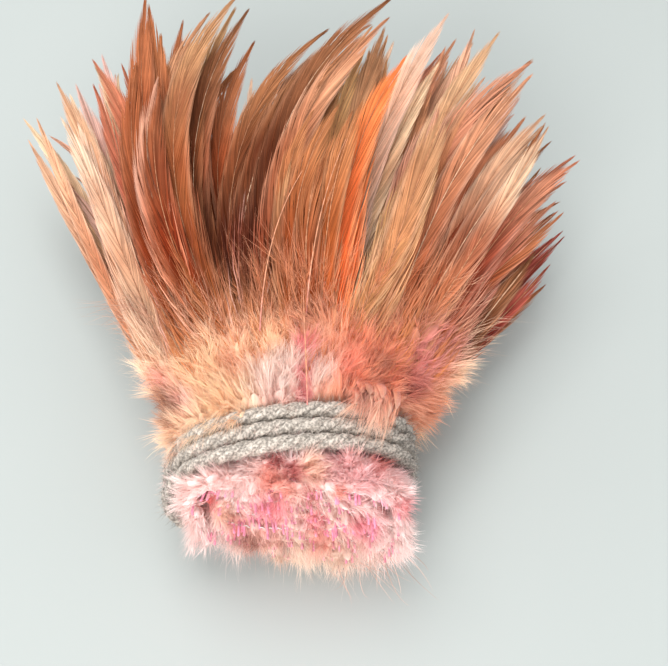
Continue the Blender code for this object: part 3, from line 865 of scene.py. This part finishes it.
def feather(rng, place, tip, heading, half_width, roll, outer, spacing, share=1.0):
    """All the parts of one feather: shaft, vane, and down in the skirt and in the ruff."""
    stem = Stem(place, tip, heading, roll, share)
    warm = rng.normal(1, 0.05)
    tint = np.clip(np.array([warm, warm * rng.normal(1, 0.03), warm * rng.normal(1, 0.04)]), 0.5, 1.15)
    horn = np.ones(3) if rng.random() < PALE_HORN_SHARE else BROWN_HORN * rng.uniform(0.7, 1.2)
    parts = [shaft(stem, rng.uniform(0, 4.5), 22, 4, horn), vane(rng, stem, half_width, spacing, tint)]
    end = stem.walked[0] + QUILL_SPARE
    up, x = stem.outward[2], stem.at(RUFF_Y)[0][0]
    # A tuft row: starts, length, width, forward, lean, hairs, their length, curl.
    # A wisp row: stretch, wisps, strands, length, outward, forward, half width.
    if outer:
        lean = SKIRT_LEANS * (0.6 + 0.4 * up) * (0.85 if x > 20 else 1.0) - 0.15
        tuft_rows = [
            (end + SKIRT_STARTS, 6.6, 1.8, SKIRT_FORWARD, lean, 64, 4.2),
            (RUFF_STARTS, 10.5, 2.4, RUFF_FORWARD, RUFF_LEANS, 79, 5.8),
        ]
        if up > 0.3 and -27 < x < -11:
            tuft_rows.append(([-18.5, -16.5], 10.0, 2.2, 0.1, [1.2, 1.2], 60, 5.0, -1.0))
        if up > 0.3 and 17 < x < 24.5:
            tuft_rows.append(([-17.0, -15.0, -13.5], 19.0, 2.2, -0.1, [1.1, 1.1, 1.1], 80, 6.0, -1.5))
        wisp_rows = [
            ((end, end + 8), 4, 10, 5.5, 0.7 + 0.5 * up, -0.3, 0.07),
            ((-19.0, 10.0), 4, 10, 8.0, 0.8, 0.7, 0.07),
            ((0.0, 24.0), 8, 10, 11.0, 0.5, 1.1, 0.06),
        ]
        if x < -20:
            wisp_rows.append(((2.0, 32.0), 9, 8, 10.0, 1.4, 0.6, 0.055))
        if up < -0.2:
            wisp_rows.append(((end, end + 5), 8, 10, 7.0, 0.1, -1.0, 0.045))
    else:
        tuft_rows = [
            (end + np.array([4.5, 8.0]), 6.0, 1.8, -1.0, [0.1, 0.1], 50, 3.4),
            ([-15.0, -8.0], 9.0, 2.4, 1.0, [0.1, 0.1], 5, 4.6),
        ]
        wisp_rows = [((end, end + 6), 2, 10, 4.5, 0.3, -0.9, 0.07)]
    for row in tuft_rows:
        parts += tufts(rng, stem, *row)
    parts += [wisps(rng, stem, *row) for row in wisp_rows]
    return parts, stem


for number, (x, y, z, heading, half_width, roll, dye) in enumerate(FEATHERS, 1):
    rng = np.random.default_rng(1000 + number)
    place, outer = string_place(number - 1), number <= OUTER_TURN
    parts, stem = feather(rng, place, (x, y, z), heading, half_width, roll, outer, BARB_SPACING)
    if number in BARE_SHAFTS:
        parts.append(bare_shaft(BARE_SHAFTS[number], 24, 6))
    if number in TRAILING:
        parts.append(loose_hairs(rng, stem, 7))
    piece = mesh_piece(f"saddle_feather_{number:02d}", parts, [VANES[dye], SHAFT, DOWN])
    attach(piece, "root")
    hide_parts(f"feather_{number:02d}")


# The rest of the string. Five more feathers are sewn between each two of the fifty, lie close to one of
# them, and are a little shorter, narrower and more tattered. They are joined in one piece for each dye.
BETWEEN = 5
STRAY_SPACING = 0.95
TIP_SCATTER, TIP_SINK, LOWEST_TIP = (3.6, 3.0, 2.4), (0, 0, 1.5), 1.5
STRAY_HEADING, STRAY_ROLL = 8, 9
STRAY_WIDTH, STRAY_LENGTH = (0.75, 1.0), (0.66, 1.0)
FAITHFUL, PALE_FAITHFUL, PALE_LEFT_OF = 0.6, 0.2, 25
# The dyes of those whose neighbour's tip lies left of an x.
STRAY_DYES = [
    (-58, ["blush", "cream", "cream", "peach", "blush", "peach"]),
    (-25, ["chestnut", "umber", "ginger", "chestnut", "umber", "rose", "chestnut", "tan"]),
    (25, ["chestnut", "umber", "peach", "ginger", "chestnut", "salmon", "tan", "umber"]),
    (62, ["salmon", "tan", "ginger", "blush", "peach", "salmon", "umber"]),
    (200, ["maroon", "rose", "chestnut", "umber", "rose", "salmon"]),
]
PALE_DYES = ("cream", "blush", "peach", "tan")
# The feathers at the left edge of the fan's gap have theirs on the left, so that the gap stays open.
GAP = (-21, -14)
GAP_PULL = 2.0
by_dye = {dye: [] for dye in DYES}
for step in range((len(FEATHERS) - 1) * (BETWEEN + 1)):
    if step % (BETWEEN + 1) == 0:
        continue
    rng = np.random.default_rng(5000 + step)
    position = step / (BETWEEN + 1)
    parent = FEATHERS[int(round(position + rng.uniform(-0.2, 0.2)))]
    tip = np.array(parent[:3], float) + rng.normal(0, 1, 3) * TIP_SCATTER - TIP_SINK
    tip[2] = max(tip[2], LOWEST_TIP)
    if GAP[0] < parent[0] < GAP[1]:
        tip[0] = parent[0] - GAP_PULL - abs(tip[0] - parent[0])
    heading = parent[3] + rng.normal(0, STRAY_HEADING)
    strays = next(dyes for left_of, dyes in STRAY_DYES if parent[0] < left_of)
    pale = parent[6] in PALE_DYES and parent[0] < PALE_LEFT_OF
    faithful = rng.random() < (PALE_FAITHFUL if pale else FAITHFUL)
    dye = parent[6] if faithful else strays[rng.integers(len(strays))]
    place = string_place(position) + rng.normal(0, 0.25, 2)
    half_width = parent[4] * rng.uniform(*STRAY_WIDTH)
    roll = parent[5] + rng.normal(0, STRAY_ROLL)
    parts, _ = feather(
        rng, place, tip, heading, half_width, roll, position <= OUTER_TURN, STRAY_SPACING,
        rng.uniform(*STRAY_LENGTH),
    )
    by_dye[dye] += parts
for dye, parts in by_dye.items():
    if parts:
        piece = mesh_piece(f"strung_feathers_{dye}", parts, [VANES[dye], SHAFT, DOWN])
        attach(piece, "root")


# The stringing thread. It is one white sewing thread that passes over one quill and under the next, close
# to the cut ends, and holds the whole string together.
THREAD_RADIUS = 0.2
THREAD_SWING = 0.5
THREAD_Y = -16.7
THREAD_BETWEEN = 2


def thread_finish():
    """White cotton, greyer in its twist."""
    finish = Finish("string_thread", 0.8, 0.3, 0.3)
    colour = finish.times((0.80, 0.76, 0.72), finish.mottle(1500, 2, 0.3, 0.7, 0.7, 1.1))
    finish.fill(finish.shader, {"Base Color": colour})
    return finish.material


steps = np.arange(0, (len(FEATHERS) - 1) * (BETWEEN + 1) + 1) / (BETWEEN + 1)
centres = np.array([in_roll(string_place(step), np.array([THREAD_Y]))[0] for step in steps])
run = unit(np.gradient(centres, axis=0))
outward = np.cross(run, (0, 1, 0))
passes = centres + outward * THREAD_SWING * np.where(np.arange(len(steps)) % 2, 1, -1)[:, None]
woven = np.empty((2 * len(steps) - 1, 3))
woven[0::2] = passes
woven[1::2] = 0.5 * (centres[1:] + centres[:-1])
fine = np.linspace(0, len(woven) - 1, THREAD_BETWEEN * (len(woven) - 1) + 1)
thread_path = read_off(np.arange(len(woven)), woven, fine)
_, across, above = square_to(thread_path, (0, 1, 0))
piece = mesh_piece("sewn_thread", [rod(thread_path, across, above, THREAD_RADIUS, 6, 0)], [thread_finish()])
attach(piece, "root")
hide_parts("stringing_thread")


# The binding twine. It is one soft grey cord of three plies twisted together, wound three times round the
# roll and drawn tight, so that it lies in level turns and steps to the next one down the left side.
TWINE_RADIUS = 2.25
TWINE_PITCH = 4.85
TWINE_START_DEG = -122.0
TWINE_END_DEG = 926.0
TWINE_HALF_WIDTH = 32.6
TWINE_HALF_HEIGHT = 21.2
TWINE_SINK = 0.5
# Dark for the flecks and for painted shade between the yarns, pale for the crests.
TWINE_DARK_AND_SHADE, TWINE_PALE = (0.10, 0.085, 0.075), (0.54, 0.475, 0.41)
PLIES = 3
PLY_RADIUS = 1.38
PLY_OFFSET = 0.9
TWINE_LAY = 16.0
PLY_SIDES = 14
YARNS = 5
YARN_TURNS = 2.1
FUZZ_HAIRS = 14000
FUZZ_FROM = 2.0
FUZZ_HALF_WIDTHS = np.array([0.05, 0.045, 0.0])


def twine_finish():
    """Grey-taupe fibres, flecked along the cord, painted light on the yarns' crests, painted shade between.
    """
    finish = Finish("binding_twine_fibre", 0.9, 0.3, 0.2)
    _, _, crest_light = finish.barb()
    colour = finish.mixed(finish.ranged(crest_light, 0.0, 1.0, 0, 1), TWINE_DARK_AND_SHADE, TWINE_PALE)
    colour = finish.times(colour, finish.mottle(1400, 4, 0.35, 0.65, 0.55, 1.3))
    finish.fill(finish.shader, {"Base Color": colour})
    return finish.material


def twine_line(steps):
    """The cord's middle: round an ellipse, its step along the bundle easing from turn to turn at the left."""
    degrees = np.linspace(TWINE_START_DEG, TWINE_END_DEG, steps)
    angle = np.radians(degrees)
    x = TWINE_HALF_WIDTH * np.cos(angle)
    z = TWINE_RADIUS - TWINE_SINK + TWINE_HALF_HEIGHT * (1 + np.sin(angle))
    turn = sum(ease(left - 50, left + 50, degrees) for left in (180, 540, 900))
    y = TWINE_PITCH * (1 - turn) + LEAN * x
    return np.stack([x, y, z], 1)


def twine_ply(rng, line, number):
    """One ply: a tube whose middle turns round the cord's middle once in TWINE_LAY, with YARNS ridges that
    wind round it the same way."""
    _, across, above = square_to(line, (0, 1, 0))
    turn = (2 * np.pi * (walked_along(line) / TWINE_LAY + number / PLIES))[:, None]
    path = line + PLY_OFFSET * (across * np.cos(turn) + above * np.sin(turn))
    angle = np.linspace(0, 2 * np.pi, PLY_SIDES, endpoint=False)[None, :]
    ridge = np.cos(YARNS * (angle - YARN_TURNS * turn) + number)
    ridge = 0.5 + 0.5 * ridge + rng.normal(0, 0.25, (len(line), PLY_SIDES))
    _, across, above = square_to(path, (0, 1, 0))
    part = rod(path, across, above, PLY_RADIUS * (0.92 + 0.12 * ridge), PLY_SIDES, 0)
    inner = np.linalg.norm(part["vertices"][: ridge.size].reshape(*ridge.shape, 3) - line[:, None], axis=2)
    # Painted shade: darker in the grooves between the yarns and towards the cord's middle, with random
    # flecks.
    crest_light = np.clip(0.35 + 0.35 * ridge + 0.45 * (inner - PLY_OFFSET - 0.5), 0, 1)
    # Painted shade at both ends of the cord, where it turns down the bundle's sides.
    crest_light = crest_light * (1 - 0.45 * ease(25, 34, np.abs(line[:, :1])))
    part["barb"][: ridge.size, 2] = crest_light.ravel()
    return part


def twine_fuzz(rng, line):
    """Short loose fibres that stand off the cord and bend as parabolas."""
    spot = rng.uniform(0, len(line) - 1, FUZZ_HAIRS)
    middle = read_off(np.arange(len(line)), line, spot)
    along = unit(np.gradient(line, axis=0))[spot.astype(int)]
    out = unit(np.cross(along, rng.normal(0, 1, (FUZZ_HAIRS, 3))))
    way = unit(out + rng.normal(0, 0.5, out.shape) + along * rng.normal(0, 0.8, (FUZZ_HAIRS, 1)))
    bend = rng.normal(0, 0.7, out.shape)
    long = rng.uniform(0.8, 2.6, FUZZ_HAIRS)[:, None, None]
    t = np.linspace(0, 1, len(FUZZ_HALF_WIDTHS))[None, :, None]
    points = (middle + out * FUZZ_FROM)[:, None] + long * parabola(t, way, bend)
    points[:, :, 2] = np.maximum(points[:, :, 2], 0.1)
    across = np.broadcast_to(unit(np.cross(way, out + 0.01))[:, None], points.shape)
    halves = np.broadcast_to(FUZZ_HALF_WIDTHS, points.shape[:2])
    barb = np.broadcast_to(rng.uniform(0.3, 1.1, (FUZZ_HAIRS, 1, 1)), points.shape)
    return ribbons(points, across, halves, barb, np.ones(points.shape), 0)


rng = np.random.default_rng(77)
line = twine_line(900)
parts = [twine_ply(rng, line, number) for number in range(PLIES)] + [twine_fuzz(rng, line)]
piece = mesh_piece("three_ply_twine", parts, [twine_finish()])
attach(piece, "root")
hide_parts("binding_twine")


# The studio: a pale, faintly green tabletop, a soft light high up behind the bundle and a stronger one in
# front of it, both a little to its left, and the camera looking down on it from its quill ends.
CAMERA_ELEVATION = 55.0
CAMERA_DISTANCE = 0.388
CAMERA_TARGET = (0.012, 0.047, 0.020)
CAMERA_LENS = 70.0
TABLE_COLOUR = (0.428, 0.454, 0.437)
SKY_COLOUR, SKY_STRENGTH = (0.95, 0.98, 1.0, 1.0), 0.86


def studio_light(name, place, size, power):
    """A square area light at place, in metres, that faces the bundle's middle."""
    lamp = bpy.data.lights.new(name, "AREA")
    lamp.size = size
    lamp.energy = power
    obj = bpy.data.objects.new(name, lamp)
    bpy.context.scene.collection.objects.link(obj)
    obj.location = place
    away = np.array(place) - np.array([0.0, 0.05, 0.03])
    obj.rotation_euler = (np.arctan2(np.hypot(away[0], away[1]), away[2]), 0, np.arctan2(away[0], -away[1]))
    return obj


floor_mesh = bpy.data.meshes.new("tabletop")
floor_mesh.from_pydata([(-3, -3, 0), (3, -3, 0), (3, 3, 0), (-3, 3, 0)], [], [(0, 1, 2, 3)])
floor = bpy.data.objects.new("tabletop", floor_mesh)
bpy.context.scene.collection.objects.link(floor)
paint = Finish("tabletop_paint", 0.7, 0.0, 0.3)
colour = paint.times(TABLE_COLOUR, paint.mottle(6, 2, 0.3, 0.7, 0.985, 1.01))
paint.fill(paint.shader, {"Base Color": colour})
floor_mesh.materials.append(paint.material)

studio_light("soft_overhead", (-0.25, 0.35, 1.15), 0.9, 9.0)
studio_light("soft_front", (-0.35, -1.08, 0.60), 0.9, 18.5)
world = bpy.data.worlds.new("studio")
world.use_nodes = True
sky = world.node_tree.nodes["Background"]
sky.inputs["Color"].default_value = SKY_COLOUR
sky.inputs["Strength"].default_value = SKY_STRENGTH
bpy.context.scene.world = world
bpy.context.scene.view_settings.view_transform = "Standard"

camera = bpy.data.objects.new("camera", bpy.data.cameras.new("camera"))
bpy.context.scene.collection.objects.link(camera)
elevation = np.radians(CAMERA_ELEVATION)
back = np.array([0, -np.cos(elevation), np.sin(elevation)])
camera.location = np.array(CAMERA_TARGET) + CAMERA_DISTANCE * back
camera.rotation_euler = (np.pi / 2 - elevation, 0, 0)
camera.data.lens = CAMERA_LENS
camera.data.sensor_width = 36.0
camera.data.clip_start = 0.01
bpy.context.scene.camera = camera
